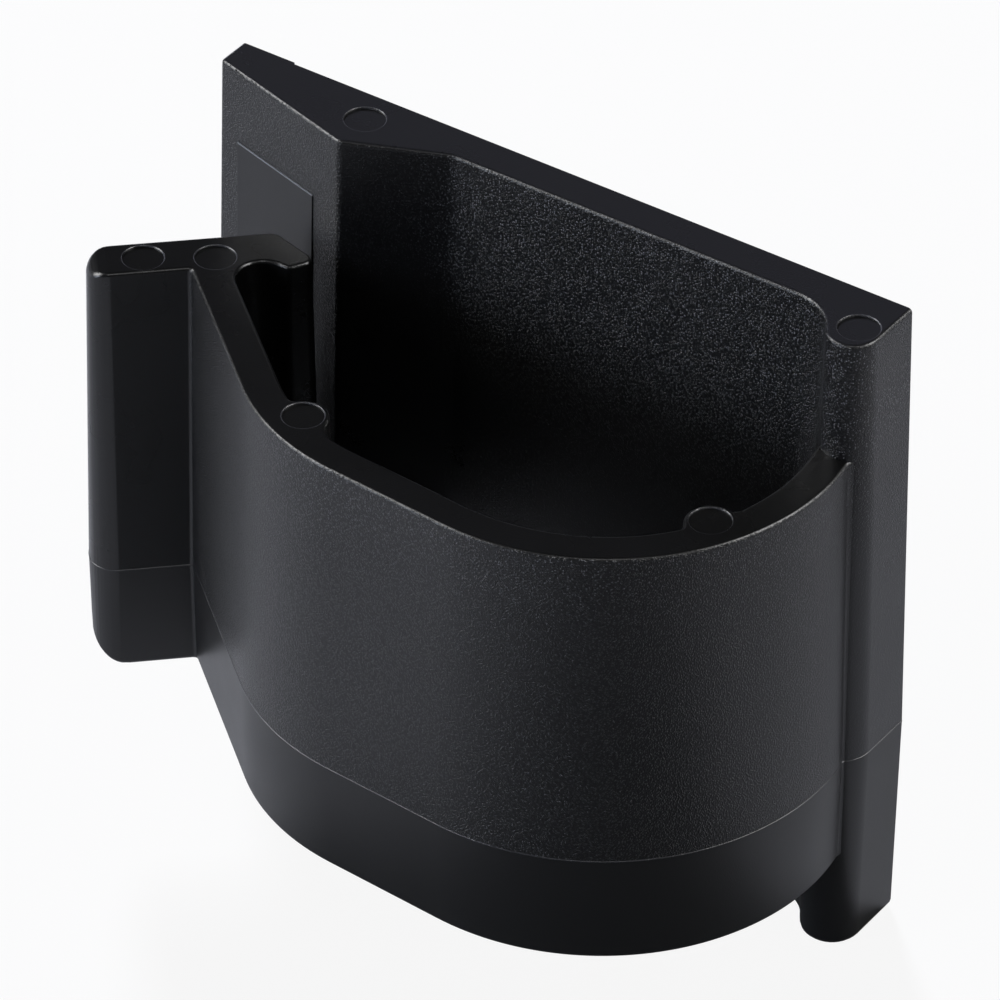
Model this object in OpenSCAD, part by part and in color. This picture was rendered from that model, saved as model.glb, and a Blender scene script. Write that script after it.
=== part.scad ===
// Rod holder: a spring clip moulded in one shot of black plastic.
// A flat back plate carries a lead-in ramp at its free end and a hinge post at the other.
// A springy strap leaves the post, rounds the front of the rod pocket and ends in a T:
// a gate nose that closes the pocket against the ramp, and a thumb tab that opens it.
// Frame: millimetres, +Z up, the back face lies in the plane y = 0, the front looks along -Y,
// and the origin is the middle of the back face.
// Lengths across the part are measured from the free end of the plate, and heights from its
// foot. Wall sizes are those at the top edge, where the walls are thinnest.

/* [Back plate] */
// Length of the plate at its top edge
plate_w = 64.4; // [58:0.2:76]
// Height of the plate
plate_h = 60; // [54:0.5:80]
// Thickness of the plate behind the pocket
plate_t = 3.3; // [2.6:0.1:4.2]
// Thickness of the plate at its free end
end_t = 2.8; // [2:0.1:3.2]
// Width of the raised rail down the back of the free end
rail_w = 5.2; // [3:0.1:9]
// Height of that rail over the back face
rail_t = 0.2; // [0.1:0.05:0.5]

/* [Mould] */
// Draft of the walls, in degrees, both ways from the parting line
draft = 1.05; // [0.25:0.05:1.6]
// Height of the parting line above the foot of the plate
parting_z = 19.5; // [14:0.5:28]
// Diameter of the ejector pin marks
pin_d = 3.4; // [2.4:0.1:4]
// Depth of the ejector pin marks
pin_dent = 0.15; // [0.05:0.05:0.3]

/* [Entry ramp] */
// Distance of the ramp's peak from the free end
peak_x = 14.6; // [12:0.2:17]
// Distance of the peak in front of the back face
peak_y = 6.9; // [6:0.1:7.4]
// Where the slope behind the peak runs out into the pocket wall
heel_x = 23.2; // [20:0.2:28]
// Height of the smooth pad over the ramp
pad_t = 0.15; // [0.1:0.05:0.4]
// Distance of the pad from the free end, along the ramp
pad_start = 2.2; // [1:0.1:4]
// Width of the pad along the ramp
pad_w = 9.8; // [6:0.1:11]
// Bare margin above and below the pad
pad_margin = 6.85; // [4:0.05:12]

/* [Hinge post] */
// Width of the post at its top edge, and the diameter of its round nose
post_w = 4.4; // [3.6:0.1:5.4]
// Distance of the tip of the post in front of the back face
post_tip = 7.35; // [6.6:0.05:8]
// Radius of the hollow where the pocket wall runs out into the post
hollow_r = 5; // [3:0.1:6]

/* [Strap] */
// Height of the strap
strap_h = 39.6; // [30:0.2:42]
// Height of its lower edge above the foot of the plate
strap_z = 9.5; // [7:0.1:12]
// Thickness of the strap at its top edge
strap_t = 3.1; // [2.6:0.1:3.8]
// Inner radius of the pocket's round corners
pocket_r = 17.45; // [16:0.05:19]
// Middle of the right corner, in from the hinge end of the plate
corner_in = 21; // [19.6:0.1:22]
// Middle of the right corner, in front of the back face
corner_y = 11.3; // [10.8:0.1:13]
// Tilt of the straight front
front_tilt = 4; // [2:0.5:8]
// Slope of the straight arm behind the left shoulder
arm_slope = 40; // [37:0.5:44]
// How far the bosses under the strap's pin marks reach past the marks
boss_rim = 0.4; // [0.2:0.1:0.8]
// Turn from the arm back to the boss on the left shoulder
front_boss_turn = 16; // [12:1:17]
// Turn, round the right corner, to the boss on that side
side_boss_turn = 28; // [20:1:30]

/* [Gate head] */
// Gap that the gate leaves between the nose and the face of the ramp, at the top edge
gate_gap = 1.9; // [1.5:0.1:2.6]
// Distance of the nose's round tip from the ramp's peak, back along the ramp
nose_back = 1.3; // [0.6:0.1:2]
// Direction of the T across the end of the arm
head_slope = 43; // [40:0.5:46]
// Thickness of the T at its top edge
head_t = 4.2; // [3.4:0.1:4.8]
// Length of the thumb tab beyond the arm
tab_len = 8.3; // [6:0.1:10]
// Radius of the tab's upper outer corner
tab_top_r = 2.2; // [1:0.1:4]
// Radius of the tab's lower outer corner
tab_foot_r = 3; // [1:0.1:5]
// Length of the T on the nose side of the arm
neck_len = 6.8; // [6:0.1:7.6]
// Diameter of the bend between the T and the nose
bend_d = 2.8; // [2.2:0.1:3.4]
// Length of the nose beyond the bend
nose_len = 3.4; // [2.6:0.1:3.8]
// Diameter of the nose's round tip
nose_d = 2.4; // [1.8:0.1:2.8]
// Slope of the nose
nose_slope = 13; // [8:1:18]

/* [Flexing] */
// Turn of the strap, round its right corner, at which the root flexes
root_turn = 4; // [2:0.5:8]
// Turn, the other way, at which the corner flexes
corner_turn = 42; // [40:1:60]
// Turn of the left shoulder, from the straight front, at which it flexes
shoulder_turn = 10; // [6:1:11]

/* [Hidden] */
$fn = 96;

foot_z = -plate_h / 2;
top_z = plate_h / 2;
strap_low = foot_z + strap_z;
strap_top = strap_low + strap_h;
far = 3 * plate_w;                       // reach of a block that stands for a half space
extra = 1;                               // how far a block reaches past a face it crosses
plastic = [0.09, 0.09, 0.1];

// Position across the part of a point given from the free end of the plate
function from_end(x) = x - plate_w / 2;

// How far a drafted wall stands out at the parting line and at its lower edge,
// counted from its upper edge
function flare_mid(z1) = (z1 - foot_z - parting_z) * tan(draft);
function flare_low(z0, z1) = flare_mid(z1) - (foot_z + parting_z - z0) * tan(draft);
function toward(slope) = [cos(slope), sin(slope)];

// Entry ramp
ramp_start = [from_end(0), -end_t];
ramp_peak = [from_end(peak_x), -peak_y];
ramp_heel = [from_end(heel_x), -plate_t];
ramp_slope = atan2(ramp_peak[1] - ramp_start[1], ramp_peak[0] - ramp_start[0]);
heel_slope = atan2(ramp_heel[1] - ramp_peak[1], ramp_heel[0] - ramp_peak[0]);
seam_x = ramp_heel[0] + extra;           // where the ramp's piece ends and the plate's begins
inside_y = -0.5;                         // depth at which a front piece starts inside the plate

// Gate: where the nose has to be decides how long the strap's front and its arm are
arm_dir = 180 - arm_slope;
shoulder_end = -90 - arm_slope;          // direction from the shoulder's centre to its last point
head_in = toward(head_slope + 90);       // from the T's front face to its back face
nose_end = ramp_peak - nose_back * toward(ramp_slope)
           + (gate_gap + nose_d / 2) * toward(ramp_slope - 90);
neck_end = nose_end - nose_len * toward(-nose_slope);
bend_in = 0.02;                          // how far the bend lies inside the T's back face
head_mid = neck_end - neck_len * toward(head_slope)
           - ((head_t - bend_d) / 2 - bend_in) * head_in;
valley = head_mid - head_t / 2 * head_in; // where the outer face of the arm meets the T

// Strap path: middle line of the strap, the two corner centres and the arm
path_r = pocket_r + strap_t / 2;
outer_r = pocket_r + strap_t;
corner_c = [from_end(plate_w - corner_in), -corner_y];
front_dir = toward(-front_tilt);
run = valley - corner_c - outer_r * toward(shoulder_end);
front_len = cross(toward(arm_dir), run) / cross(front_dir, toward(arm_dir));
arm_len = cross(front_dir, run) / cross(front_dir, toward(arm_dir));
shoulder_c = corner_c - front_len * front_dir;
corner_end = -90 - front_tilt;           // direction from the corner's centre to its last point
shoulder_flex = corner_end - shoulder_turn;
root_reach = 14;                         // turn from the root's flexing line to inside the post
arm_start = shoulder_c + path_r * toward(shoulder_end);

// Hinge post
post_c = [from_end(plate_w - post_w / 2), -(post_tip - post_w / 2)];
hollow_y = -(plate_t + hollow_r);
hollow_x = post_c[0] - sqrt(pow(hollow_r + post_w / 2, 2) - pow(post_c[1] - hollow_y, 2));
touch_y = hollow_y + hollow_r * (post_c[1] - hollow_y) / (hollow_r + post_w / 2);
hollow_edge = 0.3;                       // the fill beside the post stops this short of a feather edge

// Pin marks along the top edges
boss_d = pin_d + 2 * boss_rim;
front_boss = shoulder_c + pocket_r * toward(shoulder_end + front_boss_turn);
side_boss = corner_c + pocket_r * toward(-side_boss_turn);
post_pin = post_c + [0, pin_d / 6];
ramp_pin = ramp_peak + [0, peak_y - plate_t];
tab_pin = head_mid - (tab_len - head_t) * toward(head_slope);
neck_pin = head_mid + head_t / 2 * toward(head_slope) - pin_d / 4 * head_in;

// Section of a wall that thins both ways from the parting line; x runs across it
module wall_section(t, z0, z1) {
    mid = t / 2 + flare_mid(z1);
    low = t / 2 + flare_low(z0, z1);
    part_z = foot_z + parting_z;
    polygon([[-t / 2, z1], [-mid, part_z], [-low, z0], [low, z0], [mid, part_z], [t / 2, z1]]);
}

// Round end or boss: half of that section, turned about its axis from a start direction
module round_end(c, d, z0, z1, start = 0) {
    translate([c[0], c[1], 0]) rotate([0, 0, start]) rotate_extrude() intersection() {
        wall_section(d, z0, z1);
        translate([0, foot_z - extra]) square([far, plate_h + 2 * extra]);
    }
}

// Straight wall from a point, along a slope
module wall_line(p, slope, len, t, z0, z1) {
    translate([p[0], p[1], 0]) rotate([90, 0, slope + 90]) linear_extrude(len) wall_section(t, z0, z1);
}

// Stretch of the strap round a corner, between two directions from the corner's centre
module strap_arc(c, from, to) {
    translate([c[0], c[1], 0]) rotate([0, 0, min(from, to)]) rotate_extrude(angle = abs(to - from))
        translate([path_r, 0]) wall_section(strap_t, strap_low, strap_top);
}

// Everything behind a drafted face that runs from p to q, with the solid on the left
module behind_face(p, q, z0, z1, proud = 0) {
    run = q - p;
    slope = atan2(run[1], run[0]);
    part_z = foot_z + parting_z;
    translate([p[0], p[1], 0]) rotate([90, 0, slope + 90]) translate([0, 0, -far])
        linear_extrude(2 * far)
        polygon([[far, z0], [-flare_low(z0, z1) - proud, z0], [-flare_mid(z1) - proud, part_z],
                 [-proud, z1], [far, z1]]);
}

// Corner between two faces with outward normals a and b, after both have moved out by d
function moved_corner(p, a, b, d) = p + d * (a + b) / (1 + a * b);

// Solid between three plans with as many points each, at the foot, the parting line and the top
module between_plans(low, mid, high) {
    n = len(low);
    part_z = foot_z + parting_z;
    polyhedron(
        [for (p = low) [p[0], p[1], foot_z], for (p = mid) [p[0], p[1], part_z],
         for (p = high) [p[0], p[1], top_z]],
        [[for (i = [0:n - 1]) i],
         for (ring = [0, n]) for (i = [0:n - 1])
             [ring + i, ring + n + i, ring + n + (i + 1) % n, ring + (i + 1) % n],
         [for (i = [n - 1:-1:0]) 2 * n + i]]);
}

// Shallow round mark that an ejector pin leaves in an upper edge
module pin_mark(c, z) {
    translate([c[0], c[1], z - pin_dent]) cylinder(d = pin_d, h = extra);
}

// The plate without its ends: what lies between its front and back faces
module plate_slab() {
    intersection() {
        behind_face([from_end(0), -plate_t], [from_end(plate_w), -plate_t], foot_z, top_z);
        translate([-far, -far, foot_z]) cube([2 * far, far, plate_h]);
    }
}

// Plan of the T's straight bar, long enough to trim the arm against it
module head_bar(back, ahead) {
    wall_line(head_mid - back * toward(head_slope), head_slope, back + ahead, head_t, strap_low, strap_top);
}

module back_plate() {
    right = from_end(plate_w);
    color(plastic) intersection() {
        plate_slab();
        behind_face([right, -plate_t], [right, 0], foot_z, top_z);
        translate([seam_x, -far, foot_z]) cube([far, 2 * far, plate_h]);
    }
}

// Plan of the free end of the plate, with its faces moved out by d
function ramp_plan(d) = [
    [from_end(0) - d, rail_t],
    moved_corner(ramp_start, [-1, 0], toward(ramp_slope - 90), d),
    moved_corner(ramp_peak, toward(ramp_slope - 90), toward(heel_slope - 90), d),
    moved_corner(ramp_heel, toward(heel_slope - 90), [0, -1], d),
    [seam_x, -plate_t - d],
    [seam_x, 0],
    [from_end(rail_w), 0],
    [from_end(rail_w), rail_t]
];

module entry_ramp() {
    color(plastic) difference() {
        between_plans(ramp_plan(flare_low(foot_z, top_z)), ramp_plan(flare_mid(top_z)), ramp_plan(0));
        pin_mark(ramp_pin, top_z);
    }
}

module ramp_pad() {
    along = toward(ramp_slope);
    p = ramp_start + pad_start * along;
    color(plastic) difference() {
        intersection() {
            behind_face(ramp_start, ramp_peak, foot_z, top_z, pad_t);
            translate([p[0], p[1], foot_z + pad_margin]) rotate([0, 0, ramp_slope])
                translate([0, -peak_y, 0]) cube([pad_w, 2 * peak_y, plate_h - 2 * pad_margin]);
            translate([-far, -far, foot_z]) cube([2 * far, far + inside_y, plate_h]);
        }
        behind_face(ramp_start, ramp_peak, foot_z, top_z);
    }
}

module post_shape() {
    round_end(post_c, post_w, foot_z, top_z);
    wall_line(post_c, 90, -post_c[1] + inside_y, post_w, foot_z, top_z);
}

// The round hollow beside the post, which narrows towards the parting line
module hollow_void() {
    part_z = foot_z + parting_z;
    mid = hollow_r - flare_mid(top_z);
    low = hollow_r - flare_low(foot_z, top_z);
    translate([hollow_x, hollow_y, 0]) rotate_extrude()
        polygon([[0, foot_z], [low, foot_z], [mid, part_z], [hollow_r, top_z], [0, top_z]]);
}

module hinge_post() {
    fill = [hollow_x + hollow_edge, touch_y + hollow_edge];
    color(plastic) difference() {
        union() {
            post_shape();
            difference() {
                translate([fill[0], fill[1], foot_z])
                    cube([post_c[0] - fill[0], inside_y - fill[1], plate_h]);
                hollow_void();
            }
        }
        plate_slab();
        pin_mark(post_pin, top_z);
    }
}

module strap_root() {
    color(plastic) difference() {
        strap_arc(corner_c, root_turn, root_turn + root_reach);
        hinge_post();
        post_shape();
    }
}

module strap_side() {
    color(plastic) difference() {
        union() {
            strap_arc(corner_c, -corner_turn, root_turn);
            round_end(side_boss, boss_d, strap_low, strap_top);
        }
        pin_mark(side_boss, strap_top);
    }
}

module strap_corner() {
    color(plastic) strap_arc(corner_c, corner_end, -corner_turn);
}

module strap_front() {
    color(plastic) wall_line(corner_c + path_r * toward(corner_end), 180 - front_tilt, front_len,
                             strap_t, strap_low, strap_top);
}

module shoulder_front() {
    color(plastic) strap_arc(shoulder_c, shoulder_flex, corner_end);
}

module shoulder_rear() {
    color(plastic) difference() {
        union() {
            strap_arc(shoulder_c, shoulder_end, shoulder_flex);
            round_end(front_boss, boss_d, strap_low, strap_top, shoulder_end + front_boss_turn);
        }
        pin_mark(front_boss, strap_top);
    }
}

module strap_arm() {
    color(plastic) difference() {
        wall_line(arm_start, arm_dir, arm_len + strap_t, strap_t, strap_low, strap_top);
        head_bar(tab_len, neck_len);
    }
}

module gate_nose() {
    color(plastic) difference() {
        union() {
            head_bar(0, neck_len);
            round_end(neck_end, bend_d, strap_low, strap_top, head_slope + 180);
            wall_line(neck_end, -nose_slope, nose_len, nose_d, strap_low, strap_top);
            round_end(nose_end, nose_d, strap_low, strap_top, 180 - nose_slope);
        }
        pin_mark(neck_pin, strap_top);
    }
}

module thumb_tab() {
    round_d = head_t;
    color(plastic) difference() {
        intersection() {
            union() {
                head_bar(tab_len - round_d / 2, 0);
                round_end(head_mid - (tab_len - round_d / 2) * toward(head_slope), round_d,
                          strap_low, strap_top);
            }
            tab_outline();
        }
        pin_mark(tab_pin, strap_top);
    }
}

// Block with the tab's side view: its outer corners are rounded above and below
module tab_outline() {
    reach = tab_len + flare_mid(strap_top);
    translate([head_mid[0], head_mid[1], 0]) rotate([90, 0, head_slope]) translate([0, 0, -head_t])
        linear_extrude(2 * head_t) {
            translate([-reach + tab_top_r, strap_top - tab_top_r]) circle(tab_top_r);
            translate([-reach + tab_foot_r, strap_low + tab_foot_r]) circle(tab_foot_r);
            translate([-reach, strap_low + tab_foot_r])
                square([reach, strap_h - tab_foot_r - tab_top_r]);
            translate([-reach + tab_top_r, strap_top - tab_top_r - extra])
                square([reach - tab_top_r, tab_top_r + extra]);
            translate([-reach + tab_foot_r, strap_low])
                square([reach - tab_foot_r, tab_foot_r + extra]);
        }
}

back_plate();
entry_ramp();
ramp_pad();
hinge_post();
strap_root();
strap_side();
strap_corner();
strap_front();
shoulder_front();
shoulder_rear();
strap_arm();
gate_nose();
thumb_tab();
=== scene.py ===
# %% [markdown]
# Lesson: a spring clip for a fishing rod, moulded in one shot of black plastic.
# The solid parts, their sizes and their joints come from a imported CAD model, the frame. It could
# simply be coloured black, but plain solids have knife edges that no mould leaves, and they look
# like a drawing. So the clip is modelled again here with its fine shapes: rolled edges, the thin
# witness of the parting line, ejector pin marks, small fillets, and the plastic itself.
# The way is a mould maker's. The plan is drawn once, at the height of the parting line, and the
# walls are raised and lowered from it with their draft.

# %% Load the frame
import math

import bpy
from mathutils import Euler, Matrix, Vector


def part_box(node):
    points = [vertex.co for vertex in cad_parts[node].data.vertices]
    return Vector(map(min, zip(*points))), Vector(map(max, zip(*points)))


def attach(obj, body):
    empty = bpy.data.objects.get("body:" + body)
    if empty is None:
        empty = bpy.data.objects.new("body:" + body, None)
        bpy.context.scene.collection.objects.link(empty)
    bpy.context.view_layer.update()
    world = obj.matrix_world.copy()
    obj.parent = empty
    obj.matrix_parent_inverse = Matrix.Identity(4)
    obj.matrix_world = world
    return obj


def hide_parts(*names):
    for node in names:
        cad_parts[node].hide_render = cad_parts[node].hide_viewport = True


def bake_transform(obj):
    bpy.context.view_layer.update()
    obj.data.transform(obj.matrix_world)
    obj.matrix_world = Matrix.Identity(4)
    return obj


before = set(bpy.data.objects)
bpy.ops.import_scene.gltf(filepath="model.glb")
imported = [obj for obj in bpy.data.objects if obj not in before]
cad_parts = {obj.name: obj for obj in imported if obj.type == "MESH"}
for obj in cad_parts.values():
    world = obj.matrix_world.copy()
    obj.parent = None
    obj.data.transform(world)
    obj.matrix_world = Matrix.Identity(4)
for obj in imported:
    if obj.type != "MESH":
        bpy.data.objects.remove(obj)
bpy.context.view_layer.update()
mm = 0.001

# %% [markdown]
# The camera comes first, because it says which sides need the most care. A short lens close by
# would make the near strap look swollen. A long lens far away keeps upright edges nearly
# parallel, so that is what is used here. It stands to the front right and above, where the plate,
# the pocket and the strap all show.

# %% Camera
AZIMUTH, ELEVATION, ROLL = 34.465, 37.015, 0.345
DISTANCE = 638.97 * mm
LENS, SENSOR_WIDTH = 290.37, 36
aim = Vector((4.855, -16.493, 9.798)) * mm
cam = bpy.data.objects.new("camera", bpy.data.cameras.new("camera"))
bpy.context.scene.collection.objects.link(cam)
bpy.context.scene.camera = cam
turn = Euler((math.radians(90 - ELEVATION), 0, math.radians(AZIMUTH))).to_matrix()
turn = turn @ Matrix.Rotation(math.radians(ROLL), 3, "Z")
cam.rotation_euler = turn.to_euler()
cam.location = aim + turn @ Vector((0, 0, DISTANCE))
cam.data.sensor_width = SENSOR_WIDTH
cam.data.lens = LENS
cam.data.clip_start = 20 * mm
print("camera at", [round(x, 4) for x in cam.location])

# %% [markdown]
# Sizes. On the real clip the mould opens along Z, so each wall thins by the draft both ways from
# the parting line. Heights and ends could be typed in again, but then the looks and the CAD model
# would drift apart at the first change. So they are read from the boxes of the CAD pieces, and
# only what the boxes can't tell is given as a number.

# %% Sizes from the frame
DRAFT = math.tan(math.radians(1.05))
PARTING_ABOVE_FOOT = 19.5
ramp_low, ramp_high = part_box("entry_ramp")
strap_low, strap_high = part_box("strap_front")
foot_z, top_z = ramp_low.z / mm, ramp_high.z / mm
strap_foot, strap_top = strap_low.z / mm, strap_high.z / mm
parting_z = foot_z + PARTING_ABOVE_FOOT
plate_flare = (top_z - parting_z) * DRAFT
strap_flare = (strap_top - parting_z) * DRAFT
free_end = ramp_low.x / mm + plate_flare
hinge_end = -free_end
print(f"plate {free_end:.2f} to {hinge_end:.2f} mm, parting line at {parting_z:.2f} mm")

# %% [markdown]
# A plan is the outline of the clip as seen along the mould's opening. It could be a list of
# points, but then every fillet is frozen. Here it is a list of circles that a cord would be
# pulled round: middle x and y, and a radius. A radius above 0 turns left, round an outer corner,
# one below 0 turns right, round an inner corner, and 0 is a sharp corner. The cord keeps the
# plastic on its left. A plan like this is grown by changing its radii alone, which is just what
# draft does to a wall, and that is why this way was chosen.

# %% Headings and cords
def heading(degrees):
    return Vector((math.cos(math.radians(degrees)), math.sin(math.radians(degrees))))


def cord_between(a, b):
    """Direction of the straight stretch of cord from circle a to circle b."""
    across = Vector(b[:2]) - Vector(a[:2])
    lean_in = math.asin(max(-1, min(1, (b[2] - a[2]) / across.length)))
    return Matrix.Rotation(-lean_in, 2) @ across.normalized()


print("a cord round equal circles runs along", cord_between((0, 0, 1), (5, 0, 1))[:])


# %% Growing a plan
def grown(plan, more):
    """The plan with its cord moved out by more, in mm."""
    new = []
    for i, (x, y, radius) in enumerate(plan):
        if radius:
            new.append((x, y, radius + more))
            continue
        come = cord_between(plan[i - 1], plan[i])
        leave = cord_between(plan[i], plan[(i + 1) % len(plan)])
        out_a, out_b = Vector((come.y, -come.x)), Vector((leave.y, -leave.x))
        p = Vector((x, y)) + more * (out_a + out_b) / (1 + out_a.dot(out_b))
        new.append((p.x, p.y, 0))
    return new


def meeting(a, b, side):
    """Where circles (x, y, radius) meet, on the left (1) or right (-1) of the way from a to b."""
    across = Vector(b[:2]) - Vector(a[:2])
    d = across.length
    along = (a[2] ** 2 - b[2] ** 2 + d * d) / (2 * d)
    up = math.sqrt(max(0, a[2] ** 2 - along ** 2))
    ahead = across / d
    return Vector(a[:2]) + along * ahead + side * up * Vector((-ahead.y, ahead.x))


square = [(0, 0, 0), (1, 0, 0), (1, 1, 0), (0, 1, 0)]
print("a square grown by 1:", [tuple(round(c, 3) for c in p[:2]) for p in grown(square, 1)])


# %% [markdown]
# The outline becomes a flat face. A curve object could give it, but its points can't be placed
# on chosen angles. So the cord is drawn as by hand in edit mode: a single point is extruded along
# each straight stretch and spun round each circle. On the big bends the points lie on whole steps
# of the compass, so that the inner and outer walls have their facets side by side.

# %% Working in edit mode
def nothing_selected():
    if bpy.context.object and bpy.context.object.mode == "EDIT":
        bpy.ops.object.mode_set(mode="OBJECT")
    bpy.ops.object.select_all(action="DESELECT")


def choose(piece):
    """Makes the piece the only selected and active one."""
    nothing_selected()
    bpy.context.view_layer.objects.active = piece
    piece.select_set(True)


def edit(piece):
    choose(piece)
    bpy.ops.object.mode_set(mode="EDIT")


def done_editing():
    bpy.ops.object.mode_set(mode="OBJECT")


def refresh_edit():
    """Leaves edit mode and enters it again, so that the mesh data is up to date."""
    done_editing()
    bpy.ops.object.mode_set(mode="EDIT")


def facet(radius):
    """Degrees per facet on a circle of that radius."""
    return 2 if abs(radius) > 10 else 5 if abs(radius) > 3 else 10


print("facets of 20, 5 and 1 mm circles:", facet(20), facet(5), facet(1), "degrees")


# %% Draw a plan
SAME_PLACE = 1e-4
SHORTEST_FACET = 0.3


def arc_stops(start, turn_by, sense, pitch):
    """Angles at which an arc gets its points: whole steps of the compass, then its end."""
    stops = [k * pitch for k in range(-200, 201)
             if SHORTEST_FACET * pitch < (k * pitch - start) * sense
             < abs(turn_by) - SHORTEST_FACET * pitch]
    return sorted(stops, reverse=sense < 0) + [start + turn_by]


def single_point(name, x, y, z):
    """A mesh of one point, in edit mode."""
    nothing_selected()
    bpy.ops.mesh.primitive_plane_add(size=mm, location=(x * mm, y * mm, z * mm))
    piece = bpy.context.object
    piece.name = name
    bpy.ops.object.transform_apply(location=True)
    bpy.ops.object.mode_set(mode="EDIT")
    bpy.ops.mesh.select_mode(type="VERT")
    bpy.ops.mesh.select_all(action="SELECT")
    bpy.ops.mesh.merge(type="CENTER")
    return piece


def draw_plan(name, plan, z):
    """A flat face with the plan's outline, at height z, all in mm. It is left in edit mode."""
    leave = cord_between(plan[0], plan[1])
    x, y, radius = plan[0]
    pen = Vector((x + radius * leave.y, y - radius * leave.x))
    piece = single_point(name, pen.x, pen.y, z)
    count = len(plan)
    for i in range(1, count + 1):
        here = plan[i % count]
        come = cord_between(plan[i - 1], here)
        leave = cord_between(here, plan[(i + 1) % count])
        centre, radius = Vector(here[:2]), here[2]
        arrive = centre + radius * Vector((come.y, -come.x))
        if (arrive - pen).length > SAME_PLACE:
            step = (arrive - pen) * mm
            bpy.ops.mesh.extrude_region_move(TRANSFORM_OT_translate={"value": (step.x, step.y, 0)})
            pen = arrive
        if not radius:
            continue
        sense = 1 if radius > 0 else -1
        turn_by = math.degrees(math.atan2(come.x * leave.y - come.y * leave.x, come.dot(leave)))
        if turn_by * sense < -1e-6:
            turn_by += sense * 360
        start = math.degrees(math.atan2(pen.y - centre.y, pen.x - centre.x))
        at = start
        for stop in arc_stops(start, turn_by, sense, facet(radius)):
            bpy.ops.mesh.spin(steps=1, angle=math.radians(at - stop), axis=(0, 0, 1),
                              center=(centre.x * mm, centre.y * mm, z * mm))
            at = stop
        pen = centre + abs(radius) * heading(at)
    bpy.ops.mesh.select_all(action="SELECT")
    bpy.ops.mesh.remove_doubles(threshold=0.002 * mm)
    bpy.ops.mesh.edge_face_add()
    return piece


# %% [markdown]
# Now the walls. On the real clip they lean by about one degree, so that it slips out of its
# mould, and their edges are rolled over. An extrusion with a bevel would do for straight walls,
# but a bevel trips over the short facets of small fillets. So the flat face is first given a hair
# of height, which is the witness that the two halves of the mould leave where they meet. Then its
# top and its bottom are inset and moved out together: one inset that is as high as the wall gives
# the draft, and three short ones after it roll the edge over.

# %% Pick parts of a mesh
def pick_faces(piece, wanted):
    bpy.ops.mesh.select_mode(type="FACE")
    bpy.ops.mesh.select_all(action="DESELECT")
    done_editing()
    for face in piece.data.polygons:
        face.select = bool(wanted(face))
    bpy.ops.object.mode_set(mode="EDIT")


def pick_edges(piece, wanted):
    """Selects the edges whose two ends, in mm, satisfy wanted."""
    bpy.ops.mesh.select_mode(type="EDGE")
    bpy.ops.mesh.select_all(action="DESELECT")
    done_editing()
    points = [v.co / mm for v in piece.data.vertices]
    for e in piece.data.edges:
        e.select = bool(wanted(points[e.vertices[0]], points[e.vertices[1]]))
    bpy.ops.object.mode_set(mode="EDIT")


def lid(piece, upper):
    """Selects the flat top or bottom face."""
    refresh_edit()
    z = [v.co.z for v in piece.data.vertices]
    level = max(z) if upper else min(z)
    pick_faces(piece, lambda f: abs(f.center.z - level) < 1e-6)


# %% Raise the walls and roll their rims
WITNESS = 0.1
WITNESS_STEP = 0.03


def inset(thickness, depth):
    bpy.ops.mesh.inset(thickness=thickness * mm, depth=depth * mm, use_even_offset=True)


def raise_walls(piece, up, down, roll_top, roll_foot):
    """Walls from the drawn plan, as high as up and as low as down from the parting line, in mm."""
    bpy.ops.mesh.extrude_region_move(TRANSFORM_OT_translate={"value": (0, 0, WITNESS * mm)})
    bpy.ops.mesh.select_all(action="SELECT")
    bpy.ops.transform.translate(value=(0, 0, -WITNESS / 2 * mm))
    bpy.ops.mesh.normals_make_consistent(inside=False)
    for upper, height, roll in ((True, up, roll_top), (False, down, roll_foot)):
        lid(piece, upper)
        inset(WITNESS_STEP, WITNESS / 4)
        wall = height - WITNESS * 0.75 - roll
        inset(height * DRAFT - WITNESS_STEP - roll * DRAFT, wall)
    done_editing()


def roll_rims(piece, roll_top, roll_foot):
    """Rolls both lids' edges over, in three insets that follow a quarter circle."""
    edit(piece)
    for upper, radius in ((True, roll_top), (False, roll_foot)):
        lid(piece, upper)
        for slim, tall in ((0.134, 0.5), (0.366, 0.366), (0.5, 0.134)):
            inset(slim * radius, tall * radius)
    done_editing()


def ease_corner(piece, x, y, reach, width):
    """Bevels the upright edges that lie within reach of the point (x, y), in mm."""
    def near(p):
        return math.hypot(p.x - x, p.y - y) < reach

    def upright(a, b):
        rise = abs(a.z - b.z)
        return near(a) and near(b) and (a - b).xy.length < 3 * rise and rise > 0.01

    edit(piece)
    pick_edges(piece, upright)
    bpy.ops.mesh.bevel(offset=width * mm, segments=3, affect="EDGES", profile=0.5)
    done_editing()


# %% [markdown]
# The base is the plate with its ramp at one end and its hinge post at the other. The rod is
# pushed in over the ramp, and its peak holds the rod in the pocket. Three solids could be joined,
# but every join would need its own fillet. One plan has none. The back is a flat face, so the
# plan is drawn past it and cut off later.

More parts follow.
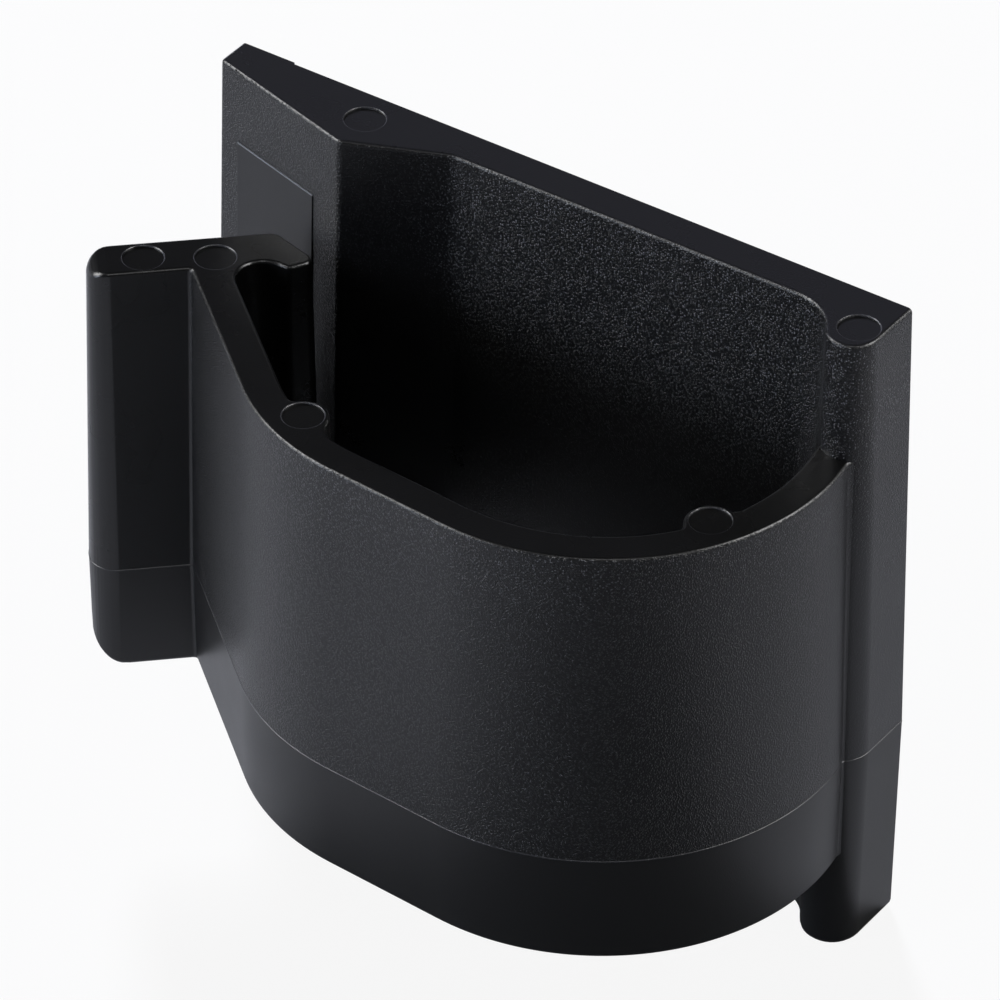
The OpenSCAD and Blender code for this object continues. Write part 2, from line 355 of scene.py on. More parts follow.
# %% Plan of the base
PLATE_T, END_T = 3.3, 2.8
RAMP_L, RAMP_T = 14.6, 6.9
HEEL_IN = 23.2
POST_R, POST_IN, POST_OUT = 2.2, 2.2, 4.95
HOLLOW_R = 5
PAST_BACK = 2.0
peak = Vector((free_end + RAMP_L, -RAMP_T))
heel_x = free_end + HEEL_IN
post = Vector((hinge_end - POST_IN, -POST_OUT))
hollow_y = -(PLATE_T + HOLLOW_R)
hollow_x = post.x - math.sqrt((POST_R + HOLLOW_R) ** 2 - (post.y - hollow_y) ** 2)
base_plan = [
    (free_end, PAST_BACK, 0),
    (free_end, -END_T, 0),
    (peak.x, peak.y, 0),
    (heel_x, -PLATE_T, 0),
    (hollow_x, hollow_y, -HOLLOW_R),
    (post.x, post.y, POST_R),
    (hinge_end, PAST_BACK, 0),
]
print("base plan:", len(base_plan), "circles and corners")

# %% Raise the base
BASE_ROLL_TOP, BASE_ROLL_FOOT = 0.35, 0.7
base = draw_plan("base", grown(base_plan, plate_flare), parting_z)
raise_walls(base, top_z - parting_z, parting_z - foot_z, BASE_ROLL_TOP, BASE_ROLL_FOOT)
start_edge, peak_edge, heel_edge = grown(base_plan, plate_flare)[1:4]
for edge, width in ((start_edge, 0.3), (peak_edge, 0.35), (heel_edge, 0.5)):
    ease_corner(base, *edge[:2], 1.3, width)
roll_rims(base, BASE_ROLL_TOP, BASE_ROLL_FOOT)
print("base", len(base.data.vertices), "points")

# %% [markdown]
# The strap is the spring. It leaves the post, turns round the pocket and ends in a T: a round
# nose that shuts the pocket and a flat tab for the thumb. It could be a line with a thickness,
# but its wall swells at two bosses, where ejector pins press. So it is one plan too: round the
# outside from the tab to the post, and back along the inside.

# %% Circles of the strap
R_OUT, R_IN = 20.55, 17.45
CORNER_IN, CORNER_OUT = 21, 11.3
FRONT_L, FRONT_TURN = 11.2, -4
ARM_L, ARM_START, ARM_TURN = 16.84, -130, 140
HEAD_TURN = 43
corner = Vector((hinge_end - CORNER_IN, -CORNER_OUT))
shoulder = corner - FRONT_L * heading(FRONT_TURN)
arm_start = shoulder + R_OUT * heading(ARM_START)
valley = arm_start + ARM_L * heading(ARM_TURN)
along_head, into_head = heading(HEAD_TURN), heading(HEAD_TURN + 90)
for name, spot in (("corner", corner), ("shoulder", shoulder), ("valley", valley)):
    print(f"{name} at {spot.x:.2f}, {spot.y:.2f} mm")

# %% A boss on the inner wall
BOSS_R, BOSS_FILLET = 2.1, 0.75
SIDE_BOSS_AT, FRONT_BOSS_AT = -28, -114


def boss_on(centre, at, before=BOSS_FILLET):
    """The inner wall's circle with a boss on it, at that compass angle from its middle.

    Before is the radius of the fillet that the cord meets first."""
    middle = centre + R_IN * heading(at)
    ring = (centre.x, centre.y, -R_IN)
    plan = [ring]
    for fillet, side in ((before, 1), (BOSS_FILLET, -1)):
        wall = (centre.x, centre.y, R_IN - fillet)
        spot = meeting(wall, (middle.x, middle.y, BOSS_R + fillet), side)
        plan.append((spot.x, spot.y, -fillet))
    plan.insert(2, (middle.x, middle.y, BOSS_R))
    return plan + [ring]


print("a boss takes", len(boss_on(corner, SIDE_BOSS_AT)), "circles")

# %% Plan of the strap
TAB_L, TAB_FRONT_R, TAB_BACK_R = 8.3, 1.8, 2.1
GROOVE_R, GROOVE_FROM_POST = 0.8, 3.2
ROOT_PROUD = 0.05
FRONT_BOSS_FILLET = 2.2
tab_front = valley - (TAB_L - TAB_FRONT_R) * along_head + TAB_FRONT_R * into_head
tab_back = valley - (TAB_L - TAB_BACK_R) * along_head + TAB_BACK_R * into_head
groove = meeting((corner.x, corner.y, R_OUT + GROOVE_R), (post.x, post.y, GROOVE_FROM_POST), -1)
neck_bend = (free_end + 11.55, -13.1, -2.2)
nose_inner = (free_end + 12.2, -10.35, 0.55)
nose_tip = (free_end + 12.6, -9.2, 0.78)
nose_back = (free_end + 9.1, -8.9, 1.4)
strap_plan = [
    (tab_front.x, tab_front.y, TAB_FRONT_R),
    (valley.x, valley.y, 0),
    (shoulder.x, shoulder.y, R_OUT),
    (corner.x, corner.y, R_OUT),
    (groove.x, groove.y, -GROOVE_R),
    (post.x, post.y, POST_R + ROOT_PROUD),
    *boss_on(corner, SIDE_BOSS_AT),
    *boss_on(shoulder, FRONT_BOSS_AT, FRONT_BOSS_FILLET),
    neck_bend,
    nose_inner,
    nose_tip,
    nose_back,
    (tab_back.x, tab_back.y, TAB_BACK_R),
]
print("strap plan:", len(strap_plan), "circles and corners")

# %% Raise the strap
STRAP_ROLL_TOP, STRAP_ROLL_FOOT = 0.35, 0.4
strap = draw_plan("strap", grown(strap_plan, strap_flare), parting_z)
raise_walls(strap, strap_top - parting_z, parting_z - strap_foot, STRAP_ROLL_TOP, STRAP_ROLL_FOOT)
valley_edge = grown(strap_plan, strap_flare)[1]
ease_corner(strap, *valley_edge[:2], 1.0, 0.3)
roll_rims(strap, STRAP_ROLL_TOP, STRAP_ROLL_FOOT)
print("strap", len(strap.data.vertices), "points")

# %% [markdown]
# The tab's outer end is rounded in height as well, like a thumb nail, so that nothing digs into
# the thumb. A bevel on such a long edge would fight with the rolled rims. Instead, cuts across
# the tab give the end rings of points, and each ring goes down at the top, and up at the foot, by
# what a quarter circle asks for. The rims keep their shape, because a whole ring moves at once.

# %% Cut rings into the tab's end
RING_SHARES = (0.04, 0.12, 0.25, 0.45, 0.7, 1)
RIM_ZONE = 1.2
bar_end = valley - (TAB_L + strap_flare) * along_head


def cut_rings(piece, radius):
    """Cuts across the tab, closer together near its end."""
    def on_tab_or_lid(face):
        return ((Vector(face.center.xy) / mm - valley).dot(along_head) < 1.5
                or face.area > 20 * mm * mm)

    edit(piece)
    for share in RING_SHARES:
        cut = bar_end + radius * share * along_head
        pick_faces(piece, on_tab_or_lid)
        bpy.ops.mesh.bisect(plane_co=(cut.x * mm, cut.y * mm, 0), threshold=1e-7,
                            plane_no=(along_head.x, along_head.y, 0))
        refresh_edit()
    done_editing()


def rings_of(piece, radius, upper):
    """Points of the tab's end near its top or foot, grouped by how far in they are, in mm."""
    edge = (strap_top - RIM_ZONE if upper else strap_foot + RIM_ZONE) * mm
    rings = {}
    for v in piece.data.vertices:
        inside = (v.co.xy / mm - bar_end).dot(along_head)
        if inside < radius and (v.co.z > edge if upper else v.co.z < edge):
            rings.setdefault(round(inside, 2), []).append(v.index)
    return rings


# %% Round the tab's end
def round_tab(piece, radius, upper):
    cut_rings(piece, radius)
    rings = rings_of(piece, radius, upper)
    for inside, members in rings.items():
        drop = radius - math.sqrt(max(0, radius ** 2 - (radius - max(0, inside)) ** 2))
        edit(piece)
        bpy.ops.mesh.select_mode(type="VERT")
        bpy.ops.mesh.select_all(action="DESELECT")
        done_editing()
        for k in members:
            piece.data.vertices[k].select = True
        bpy.ops.object.mode_set(mode="EDIT")
        bpy.ops.transform.translate(value=(0, 0, (-drop if upper else drop) * mm))
        done_editing()
    print("tab end:", len(rings), "rings moved")


TAB_ROUND_TOP, TAB_ROUND_FOOT = 2.2, 3.0
round_tab(strap, TAB_ROUND_TOP, True)
round_tab(strap, TAB_ROUND_FOOT, False)

# %% [markdown]
# Ejector pins push the part out of its mould and leave shallow round prints in the top edges.
# They could be painted on with a bump, but a real step catches the light on one side and hides it
# on the other, from wherever one looks. So a pin is modelled with a small chamfer at its rim, and
# it is taken away from the base and the strap.

# %% The pin and its cut
PIN_R, PIN_L = 1.7, 1.0
PIN_DEEP, CHAMFER_DEEP = 0.15, 0.05
PIN_SPREAD = 1.5


def pin_tool(x, y, z):
    nothing_selected()
    middle_z = z - PIN_DEEP + PIN_L / 2
    bpy.ops.mesh.primitive_cylinder_add(vertices=64, radius=PIN_R * mm, depth=PIN_L * mm,
                                        location=(x * mm, y * mm, middle_z * mm))
    pin = bpy.context.object
    bpy.ops.object.transform_apply(location=True)
    edit(pin)
    bpy.ops.mesh.select_all(action="SELECT")
    bpy.ops.mesh.bisect(plane_co=(0, 0, (z - CHAMFER_DEEP) * mm), plane_no=(0, 0, 1),
                        threshold=1e-7)
    lid(pin, True)
    bpy.ops.transform.resize(value=(PIN_SPREAD, PIN_SPREAD, 1),
                             center_override=(x * mm, y * mm, z * mm))
    done_editing()
    return pin


def take_away(piece, tool):
    choose(piece)
    cut = piece.modifiers.new("cut", "BOOLEAN")
    cut.operation, cut.solver, cut.object = "DIFFERENCE", "EXACT", tool
    bpy.ops.object.modifier_apply(modifier="cut")
    bpy.data.objects.remove(tool)


# %% Pin marks
side_boss = corner + R_IN * heading(SIDE_BOSS_AT)
front_boss = shoulder + R_IN * heading(FRONT_BOSS_AT)
ramp_mark, post_mark = (free_end + 14.54, -3.12), (post.x + 0.15, -4.45)
neck_mark, tab_mark = (free_end + 6.8, -13.1), (free_end + 2.07, -16.5)
base_pins = [(x, y, top_z) for x, y in (ramp_mark, post_mark)]
strap_pins = [(x, y, strap_top) for x, y in (side_boss, front_boss, neck_mark, tab_mark)]
for piece, pins in ((base, base_pins), (strap, strap_pins)):
    for pin_place in pins:
        take_away(piece, pin_tool(*pin_place))
print("after the pin marks:", len(base.data.polygons), len(strap.data.polygons), "faces")

# %% [markdown]
# The back lies flat on a wall, with a shallow rail left standing at the free end. The plan was
# drawn past the back, so one cut gives a clean flat face with no rolled rim, which is how the
# real back meets the wall. The rail is extruded from that face.

# %% Flat back with its rail
RAIL_W, RAIL_T = 5.2, 0.2
rail_end = (free_end + RAIL_W) * mm


def keep_side(piece, x, y, towards):
    """Cuts the piece upright at (x, y) and keeps the side that the 2-D direction points to."""
    edit(piece)
    bpy.ops.mesh.select_all(action="SELECT")
    bpy.ops.mesh.bisect(plane_co=(x * mm, y * mm, 0), plane_no=(towards[0], towards[1], 0),
                        use_fill=True, clear_inner=True, threshold=1e-7)
    done_editing()


keep_side(base, 0, 0, (0, -1))
edit(base)
pick_faces(base, lambda f: abs(f.center.y) < 1e-6)
bpy.ops.mesh.bisect(plane_co=(rail_end, 0, 0), plane_no=(1, 0, 0), threshold=1e-7)
done_editing()
edit(base)
pick_faces(base, lambda f: abs(f.center.y) < 1e-6 and f.center.x < rail_end)
bpy.ops.mesh.extrude_region_move(TRANSFORM_OT_translate={"value": (0, RAIL_T * mm, 0)})
done_editing()
print("back", len(base.data.polygons), "faces")

# %% [markdown]
# The clip is one moulding, but the frame moves it as several bodies, so the base and the strap
# are cut into the stretches that the CAD model names. Each could be drawn by itself, but then the
# rims would never quite meet. Cut from one mesh, they meet point by point. The strap's cuts go
# across the middle of a facet, where both sides have the same normal, so they can't be seen.

# %% Cut the base
def copy_of(piece, name):
    new = piece.copy()
    new.data = piece.data.copy()
    new.name = name
    bpy.context.scene.collection.objects.link(new)
    return new


ramp_cut_x, post_cut_x = heel_x + 3, hollow_x - 1
ramp_end = copy_of(base, "ramp_end")
plate_wall = copy_of(base, "plate_wall")
hinge_column = copy_of(base, "hinge_column")
keep_side(ramp_end, ramp_cut_x, 0, (-1, 0))
keep_side(plate_wall, ramp_cut_x, 0, (1, 0))
keep_side(plate_wall, post_cut_x, 0, (-1, 0))
keep_side(hinge_column, post_cut_x, 0, (1, 0))
for piece in (ramp_end, plate_wall, hinge_column):
    print(piece.name, len(piece.data.polygons), "faces")

# %% Cut the strap
SIDE_CUT_AT, FRONT_CUT_AT = -13, -94
ARM_CUT_IN = 1.6
front_cut = corner + R_OUT * heading(FRONT_CUT_AT) - FRONT_L / 2 * heading(FRONT_TURN)
side_cut = corner + R_OUT * heading(SIDE_CUT_AT)
arm_cut = arm_start + ARM_CUT_IN * heading(ARM_TURN)
root_bend = copy_of(strap, "root_bend")
corner_bend = copy_of(strap, "corner_bend")
shoulder_bend = copy_of(strap, "shoulder_bend")
gate_head = copy_of(strap, "gate_head")
for piece in (root_bend, corner_bend):
    keep_side(piece, *front_cut, heading(FRONT_TURN))
for piece in (shoulder_bend, gate_head):
    keep_side(piece, *front_cut, -heading(FRONT_TURN))
keep_side(root_bend, *side_cut, heading(SIDE_CUT_AT + 90))
keep_side(corner_bend, *side_cut, -heading(SIDE_CUT_AT + 90))
keep_side(shoulder_bend, *arm_cut, -heading(ARM_TURN))
keep_side(gate_head, *arm_cut, heading(ARM_TURN))
for whole in (base, strap):
    bpy.data.objects.remove(whole)
made = (ramp_end, plate_wall, hinge_column, root_bend, corner_bend, shoulder_bend, gate_head)
for piece in made[3:]:
    print(piece.name, len(piece.data.polygons), "faces")

# %% [markdown]
# On the ramp lies a smooth raised rectangle, about a tenth of a millimetre proud. It is where the
# mould has a plain insert. A box laid flat on the ramp would sink in at its ends, because the
# ramp leans both ways from the parting line. So the box is cut at that line, its top and bottom
# are moved back by the draft, and only then are its edges bevelled.

# %% Pad on the ramp
PAD_T, PAD_DEEP, PAD_W, PAD_H = 0.09, 0.4, 9.8, 46.3
PAD_FROM_END = 2.2
ramp_start = Vector((free_end, -END_T))
down_ramp = (peak - ramp_start).normalized()
off_ramp = Vector((down_ramp.y, -down_ramp.x))
pad_middle = ramp_start + (PAD_FROM_END + PAD_W / 2) * down_ramp
pad_middle += (plate_flare + PAD_T - PAD_DEEP / 2) * off_ramp
nothing_selected()
bpy.ops.mesh.primitive_cube_add(size=1, location=(pad_middle.x * mm, pad_middle.y * mm, 0),
                                rotation=(0, 0, math.atan2(down_ramp.y, down_ramp.x)),
                                scale=(PAD_W * mm, PAD_DEEP * mm, PAD_H * mm))
pad = bpy.context.object
pad.name = "ramp_pad_face"
bpy.ops.object.transform_apply(location=True, rotation=True, scale=True)

# %% Lean the pad and ease its edges
PAD_EASE = 0.07
edit(pad)
bpy.ops.mesh.select_all(action="SELECT")
bpy.ops.mesh.bisect(plane_co=(0, 0, parting_z * mm), plane_no=(0, 0, 1), threshold=1e-7)
for upper, level in ((True, PAD_H / 2), (False, -PAD_H / 2)):
    lid(pad, upper)
    back_in = -off_ramp * abs(level - parting_z) * DRAFT * mm
    bpy.ops.transform.translate(value=(back_in.x, back_in.y, 0))
done_editing()
edit(pad)
pick_edges(pad, lambda a, b: abs(a.z - parting_z) > 0.01 or abs(b.z - parting_z) > 0.01)
bpy.ops.mesh.bevel(offset=PAD_EASE * mm, segments=2, affect="EDGES")
done_editing()
print("pad", len(pad.data.polygons), "faces")

# %% [markdown]
# Shading. With flat shading the round walls would show their facets, and with plain smooth
# shading the big flat faces would look pillowed at their rims. So edges under 35 degrees are
# smooth, and the normals are weighted by area: the flat faces stay flat, and the rolled edges
# take the light by themselves.

# %% Smooth shading
SMOOTH_UNDER = 35
for piece in (*made, pad):
    choose(piece)
    bpy.ops.object.shade_smooth_by_angle(angle=math.radians(SMOOTH_UNDER))
    weigh = piece.modifiers.new("weigh", "WEIGHTED_NORMAL")
    weigh.keep_sharp, weigh.weight = True, 100
    bpy.ops.object.modifier_apply(modifier="weigh")
print("smooth:", [piece.name for piece in (*made, pad)])

# %% [markdown]
# The finish is black plastic. Its light and shade come from many small facts, such as where the
# mould was spark-eroded, and an image could hold them all, but it would blur close by and need
# unwrapping. A procedural finish is sharp at any distance, so the facts are written as sums. The
# small class below lets a socket take part in a Python expression. Each sum on it adds a Math
# node, and one method adds any other node.

# %% Shader arithmetic
class Flow:
    """A socket with arithmetic."""

    def __init__(self, socket):
        self.socket = socket

    @staticmethod
    def node(tree, kind, settings=None, sockets=None):
        """Adds a node, sets it up, feeds its sockets, and gives back its outputs as flows."""
        node = tree.nodes.new(kind)
        for key, value in (settings or {}).items():
            setattr(node, key, value)
        for key, value in (sockets or {}).items():
            if isinstance(value, Flow):
                tree.links.new(value.socket, node.inputs[key])
            else:
                node.inputs[key].default_value = value
        return [Flow(out) for out in node.outputs]

    def maths(self, operation, *values):
        return Flow.node(self.socket.id_data, "ShaderNodeMath", {"operation": operation},
                         dict(enumerate(values)))[0]

    def __add__(self, other):
        return self.maths("ADD", self, other)

    def __sub__(self, other):
        return self.maths("SUBTRACT", self, other)

    def __rsub__(self, other):
        return self.maths("SUBTRACT", other, self)

    def __mul__(self, other):
        return self.maths("MULTIPLY", self, other)

    __radd__, __rmul__ = __add__, __mul__

    def above(self, low, high):
        """0 below low, 1 above high, smooth between."""
        return Flow.node(self.socket.id_data, "ShaderNodeMapRange",
                         {"interpolation_type": "SMOOTHSTEP"},
                         {"Value": self, "From Min": low, "From Max": high})[0]


def tinted(tree, colour, share, other):
    """The colour mixed with another by share."""
    return Flow.node(tree, "ShaderNodeMix", {"data_type": "RGBA"},
                     {"Factor": share, 6: colour, 7: other})[2]


print("shader arithmetic ready")

# %% [markdown]
# Where the plastic is grained. The mould was spark-eroded on the side walls above the parting
# line, and left plain below it, on the flat upper faces and on the tab. The grain hardly shows in
# sheltered places: low on the pocket's wall, between the ramp's peak and its heel, and on the
# inner side of the nose. Each place could be a material of its own with a hard border. Masks on
# the object's own coordinates give soft borders instead, and follow the plan's named points.

# %% Masks of the grain
PARTING_BLUR = 0.05
LOST_LOW, LOST_BEHIND, LOST_INSIDE = 0.8, 0.6, 0.8
arm_face = valley.dot(along_head)


def off_tab(inboard):
    """0 on the tab, which is all that lies outside the arm's outer face."""
    return inboard.above((arm_face - 0.4) * mm, arm_face * mm)


def low_on_wall(y, z):
    """1 on the lower part of the plate's front, fading out upwards and before the strap."""
    return y.above(-12 * mm, -8 * mm) * (1 - z.above(5 * mm, 22 * mm))


def behind_peak(x, y):
    """1 on the ramp's inner slope, fading out past the heel and before the strap."""
    from_peak = x.above((peak.x - 0.1) * mm, (peak.x + 0.3) * mm)
    to_heel = 1 - x.above((heel_x - 3) * mm, (heel_x + 4) * mm)
    return from_peak * to_heel * y.above(-10 * mm, -8 * mm)


def inside_nose(x, y, inboard):
    """1 on the nose and the neck's inner side, up to where the ramp begins."""
    inner = inboard.above((arm_face + 2) * mm, (arm_face + 3) * mm)
    return inner * (1 - x.above(-16 * mm, -13 * mm)) * (1 - y.above(-9 * mm, -8.4 * mm))


def grain_mask(x, y, z, flat, upper):
    """How much grain there is, from 0 to 1."""
    inboard = along_head.x * x + along_head.y * y
    grain = upper * (1 - flat) * off_tab(inboard) * (1 - LOST_LOW * low_on_wall(y, z))
    grain = grain * (1 - LOST_BEHIND * behind_peak(x, y))
    return grain * (1 - LOST_INSIDE * inside_nose(x, y, inboard))


print(f"grain from {parting_z:.1f} mm up")

# %% [markdown]
# Painted highlights on the rims. Where the halves of the mould meet, round the pin marks and along
# the pad's upper edge, the plastic stands up in a burr thinner than a hair, which catches the light
# as a fine light line. So thin a burr could be modelled, but it would cost thousands of faces. A
# narrow band of paler colour paints that highlight instead, broken up by a slow noise so that it
# isn't even.

# %% Masks of the painted rim highlights
SEAM_FROM, SEAM_TO = 0.07, 0.13
SEAM_HIGHLIGHT_SHARE, SEAM_HIGHLIGHT_LOST_BEHIND = 0.6, 0.5
RIM_R, RIM_FULL, RIM_GONE = PIN_R + 0.03, 0.02, 0.08
PAD_RIM_HIGHLIGHT_FROM, PAD_RIM_HIGHLIGHT_TO = PAD_H / 2 - 0.15, PAD_H / 2 - 0.09


def seam_highlight_mask(y, z, upper, broad):
    """Painted highlight of the burr just above the parting line, strongest on the strap's front."""
    seam = upper * (1 - z.above((parting_z + SEAM_FROM) * mm, (parting_z + SEAM_TO) * mm))
    return broad * seam * (SEAM_HIGHLIGHT_SHARE - SEAM_HIGHLIGHT_LOST_BEHIND * y.above(-24 * mm, -16 * mm))


def pin_rim_highlight_mask(tree, place, broad):
    """A thin painted highlight ring round each pin mark, found by the distance to the nearest pin.
    """
    gaps = [Flow.node(tree, "ShaderNodeVectorMath", {"operation": "DISTANCE"},
                      {0: place, 1: (x * mm, y * mm, z * mm)})[1]
            for x, y, z in (*base_pins, *strap_pins)]
    nearest = gaps[0]
    for gap in gaps[1:]:
        nearest = nearest.maths("MINIMUM", nearest, gap)
    off_rim = nearest - RIM_R * mm
    off_rim = off_rim.maths("ABSOLUTE", off_rim)
    return broad * (1 - off_rim.above(RIM_FULL * mm, RIM_GONE * mm))


print("pale rims round", len(base_pins) + len(strap_pins), "pin marks")

# %% [markdown]
# The plastic itself. Black plastic is nearly all gloss: its own colour is close to nothing, and
# what shows is how sharply each place mirrors the room. A single roughness would make it look
# like paint. Here a slow noise makes it vary, as the skin of a moulding does. The grain is a fine
# noise with a scatter of round dots, which feed both a bump and a few pale specks. The specks are
# a painted glint, because a dot that faces a lamp glints. The plate's upward faces get painted
# light, and the burrs get painted highlights. The pad has the same plastic without the grain, so
# both come from one function.

# %% Plastic
DARKEST, DARK = (0.004, 0.004, 0.0046, 1), (0.006, 0.006, 0.0069, 1)
# Painted light: the plate's upward faces above 24 mm are coloured lighter, as if light falls on
# them.
TOP_PAINTED_LIGHT = (0.021, 0.021, 0.025, 1)
# Painted glints: pale specks on the grain, and brighter glints high on the pocket's wall.
SPECK_GLINT, GLINT = (0.045, 0.045, 0.05, 1), (0.2, 0.2, 0.22, 1)
# Painted highlights of the burrs: along the seam, round the pin marks and on the pad's upper edge.
SEAM_HIGHLIGHT, PIN_RIM_HIGHLIGHT, PAD_RIM_HIGHLIGHT = (0.15, 0.15, 0.17, 1), (0.14, 0.14, 0.155, 1), (0.3, 0.3, 0.32, 1)
SPECK_GLINT_SHARE = 0.45
PLASTIC_IOR = 1.46
ROUGH, ROUGH_PAD = 0.28, 0.36
GRAIN_DEPTH = 0.08
FINE_PER_M, DOTS_PER_M, SLOW_PER_M = 7500, 5500, 160


def plastic(name, grained):
    material = bpy.data.materials.new(name)
    material.use_nodes = True
    tree = material.node_tree
    shader = tree.nodes["Principled BSDF"]
    place = Flow.node(tree, "ShaderNodeTexCoord")[3]
    x, y, z = Flow.node(tree, "ShaderNodeSeparateXYZ", None, {0: place})
    normal = Flow.node(tree, "ShaderNodeNewGeometry")[1]
    flat = Flow.node(tree, "ShaderNodeSeparateXYZ", None, {0: normal})[2].above(0.5, 0.9)
    upper = z.above((parting_z - PARTING_BLUR) * mm, (parting_z + PARTING_BLUR) * mm)
    grain = grain_mask(x, y, z, flat, upper) if grained else upper * 0
    fine = Flow.node(tree, "ShaderNodeTexNoise", None,
                     {"Vector": place, "Scale": FINE_PER_M, "Detail": 1, "Roughness": 0.5})[0]
    broad = Flow.node(tree, "ShaderNodeTexNoise", None,
                      {"Vector": place, "Scale": SLOW_PER_M, "Detail": 3, "Roughness": 0.5})[0]
    cells = Flow.node(tree, "ShaderNodeTexVoronoi", None,
                      {"Vector": place, "Scale": DOTS_PER_M})
    luck = Flow.node(tree, "ShaderNodeSeparateColor", None, {0: cells[1]})[0]
    dot = (0.5 - cells[0]).above(0, 0.35)
    # Painted glints on the grain's dots, brighter high on the pocket's wall where light reaches.
    glint_speck = dot * luck.above(0.55, 0.75) * grain
    glint = glint_speck * z.above(8 * mm, 30 * mm) * x.above(-15 * mm, -5 * mm)

    colour = tinted(tree, DARKEST, broad, DARK)
    # Painted light on the plate's upward faces, chosen by their normal and height.
    colour = tinted(tree, colour, flat * z.above(24 * mm, 26 * mm), TOP_PAINTED_LIGHT)
    # Painted glints in the colour.
    colour = tinted(tree, colour, SPECK_GLINT_SHARE * glint_speck, SPECK_GLINT)
    colour = tinted(tree, colour, glint, GLINT)
    # Painted highlights where the burrs catch the light.
    colour = tinted(tree, colour, seam_highlight_mask(y, z, upper, broad), SEAM_HIGHLIGHT)
    if grained:
        colour = tinted(tree, colour, pin_rim_highlight_mask(tree, place, broad), PIN_RIM_HIGHLIGHT)
    else:
        colour = tinted(tree, colour, z.above(PAD_RIM_HIGHLIGHT_FROM * mm, PAD_RIM_HIGHLIGHT_TO * mm), PAD_RIM_HIGHLIGHT)

    rough = (ROUGH if grained else ROUGH_PAD) + 0.06 * grain + 0.1 * (1 - upper)
    rough = rough + 0.08 * (broad - 0.5) + 0.15 * (fine - 0.5) * grain
    height = fine * (0.1 + 0.5 * grain) + 0.5 * dot * grain
    bump = Flow.node(tree, "ShaderNodeBump", None,
                     {"Strength": 1, "Distance": GRAIN_DEPTH * mm, "Height": height})[0]
    tree.links.new(colour.socket, shader.inputs["Base Color"])
    tree.links.new(rough.socket, shader.inputs["Roughness"])
    tree.links.new(bump.socket, shader.inputs["Normal"])
    shader.inputs["IOR"].default_value = PLASTIC_IOR
    print(name, len(tree.nodes), "nodes")
    return material


# %% Give the pieces their plastic
moulded = plastic("moulded_plastic", True)
smooth = plastic("smooth_plastic", False)
for piece in made:
    piece.data.materials.append(moulded)
pad.data.materials.append(smooth)
print("plastic on", len(made) + 1, "pieces")

# %% [markdown]
# The base pieces and the pad now ride on the root body, and the gate head on the gate body. The
# real strap has no hinge pins: it bends. Rigid stretches that turn against each other would open a
# gap at every joint. Here the three bends of the strap only have their transforms baked into their
# meshes; they ride on no body and are not blended between bodies.

# %% Ride, and bake the bends
for piece in (ramp_end, plate_wall, hinge_column, pad):
    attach(piece, "root")
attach(gate_head, "gate")


def bend(piece):
    """Bakes the piece's transform into its mesh; no blend between bodies is made."""
    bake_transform(piece)


bend(root_bend)
bend(corner_bend)
bend(shoulder_bend)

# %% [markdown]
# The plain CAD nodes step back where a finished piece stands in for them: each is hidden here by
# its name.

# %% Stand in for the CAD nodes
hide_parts("entry_ramp")
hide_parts("ramp_pad")
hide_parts("back_plate")
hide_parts("hinge_post")
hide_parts("strap_root", "strap_side")
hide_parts("strap_corner", "strap_front")
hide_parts("shoulder_front", "shoulder_rear")
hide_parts("strap_arm", "gate_nose", "thumb_tab")
print("finished pieces:", [piece.name for piece in (*made, pad)])

# %% [markdown]
# The stage is a plain pale floor. A floor lit until it is white would flood the black plastic
# with light from below. So the camera sees the floor as nearly white whatever falls on it, and
# only a small share of its true light and shadow. Mirror rays see mostly the true floor, because
# the shadow on it is what makes the front of the strap dark.

# %% Floor
FLOOR_SIZE = 6
CAMERA_SHARE, MIRROR_SHARE = 0.91, 0.015
nothing_selected()
bpy.ops.mesh.primitive_plane_add(size=FLOOR_SIZE, location=(0, 0, foot_z * mm))
floor = bpy.context.object
floor.name = "floor"
pale = bpy.data.materials.new("pale_floor")
pale.use_nodes = True
tree = pale.node_tree
shader = tree.nodes["Principled BSDF"]
shader.inputs["Base Color"].default_value = (0.9, 0.9, 0.9, 1)
shader.inputs["Roughness"].default_value = 1
shader.inputs["Specular IOR Level"].default_value = 0
rays = {flow.socket.name: flow for flow in Flow.node(tree, "ShaderNodeLightPath")}
white = Flow.node(tree, "ShaderNodeEmission", None, {"Color": (1, 1, 1, 1), "Strength": 1})[0]
mirrored = rays["Is Glossy Ray"] + rays["Is Transmission Ray"]
share = CAMERA_SHARE * rays["Is Camera Ray"] + MIRROR_SHARE * mirrored
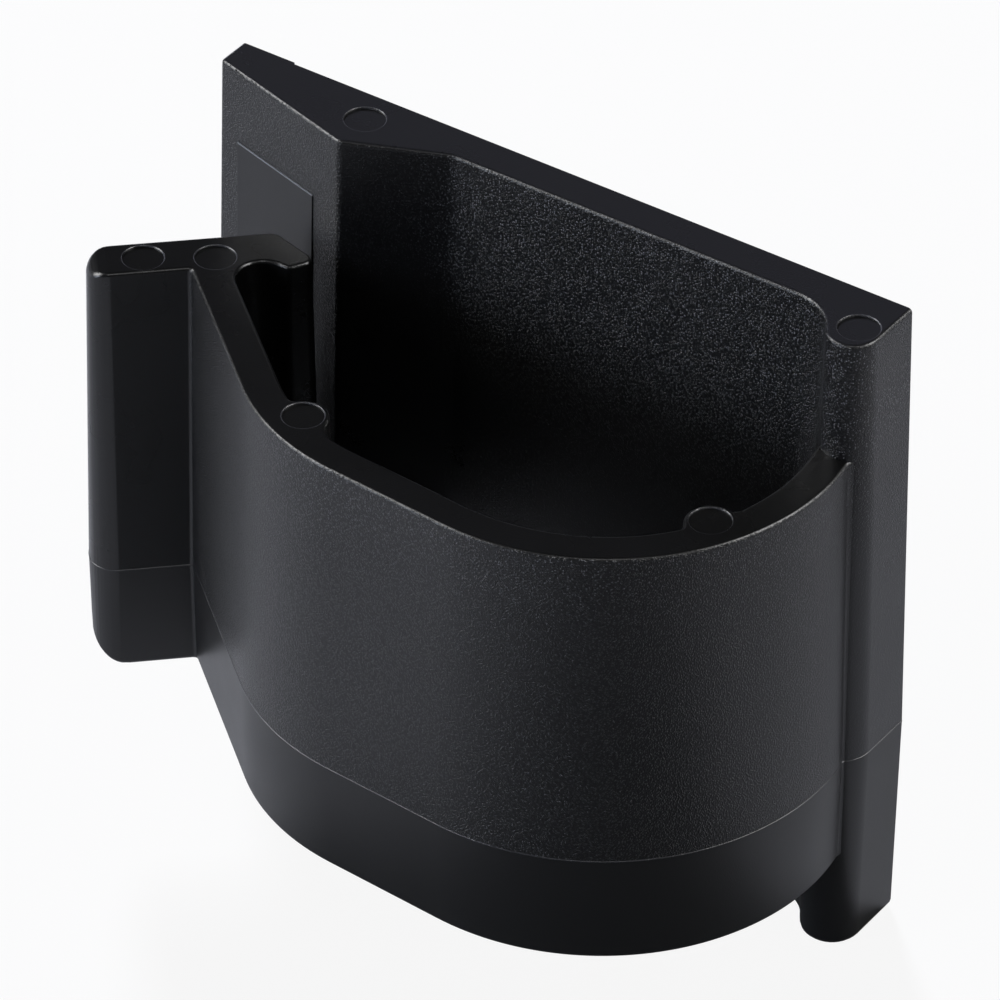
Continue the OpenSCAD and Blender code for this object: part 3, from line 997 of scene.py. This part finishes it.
seen = Flow.node(tree, "ShaderNodeMixShader", None, {0: share, 1: Flow(shader.outputs[0]), 2: white})
tree.links.new(seen[0].socket, tree.nodes["Material Output"].inputs["Surface"])
floor.data.materials.append(pale)
print(f"floor at {foot_z:.1f} mm")

# %% [markdown]
# The lamps. Upright black walls show what they mirror, and from above that is the floor. The key
# lamp stands low behind the clip, on the left. It lights the floor on both sides and throws the
# clip's shadow forward, so the strap is dark in front and lighter towards its ends. It isn't seen
# in mirror rays, or it would glare on the upper faces. A weak bluish lamp from the left front
# brings up the arm. Three wide lamps are seen in mirror rays only, and put a line of light on the
# rolled edges. One big soft lamp above would be simpler, but it lights all walls alike.

# %% Lamps
def lamp(name, place, size, power, colour):
    data = bpy.data.lights.new(name, "AREA")
    data.shape, data.size, data.energy, data.color = "DISK", size, power, colour
    light = bpy.data.objects.new(name, data)
    bpy.context.scene.collection.objects.link(light)
    light.location = place
    light.rotation_euler = Vector(place).to_track_quat("Z", "Y").to_euler()
    print(name, power, "W")
    return light


key = lamp("lamp_key", (-1.3, 1.32, 0.74), 0.4, 62, (0.95, 0.97, 1.08))
key.visible_glossy = False
lamp("lamp_left", (-0.75, -1.02, 0.17), 0.45, 6, (0.82, 0.92, 1.1))
for name, place, size, power in (("lamp_edges_left", (-0.86, -0.5, 0.6), 0.8, 19),
                                 ("lamp_edges_right", (0.86, 0.42, 0.72), 0.9, 22),
                                 ("lamp_edges_front", (0.35, -0.5, 1.05), 0.5, 2)):
    edges = lamp(name, place, size, power, (1, 1, 1))
    edges.visible_diffuse = False

# %% [markdown]
# The room is a dim even white. With no room at all the shadows would be bottomless, and a bright
# one would wash out the dark pocket.

# %% Room and view
ROOM_STRENGTH = 0.07
world = bpy.data.worlds.new("studio")
bpy.context.scene.world = world
world.use_nodes = True
background = world.node_tree.nodes["Background"]
background.inputs["Color"].default_value = (1, 1, 1, 1)
background.inputs["Strength"].default_value = ROOM_STRENGTH
bpy.context.scene.view_settings.view_transform = "Standard"
print("room strength", ROOM_STRENGTH)
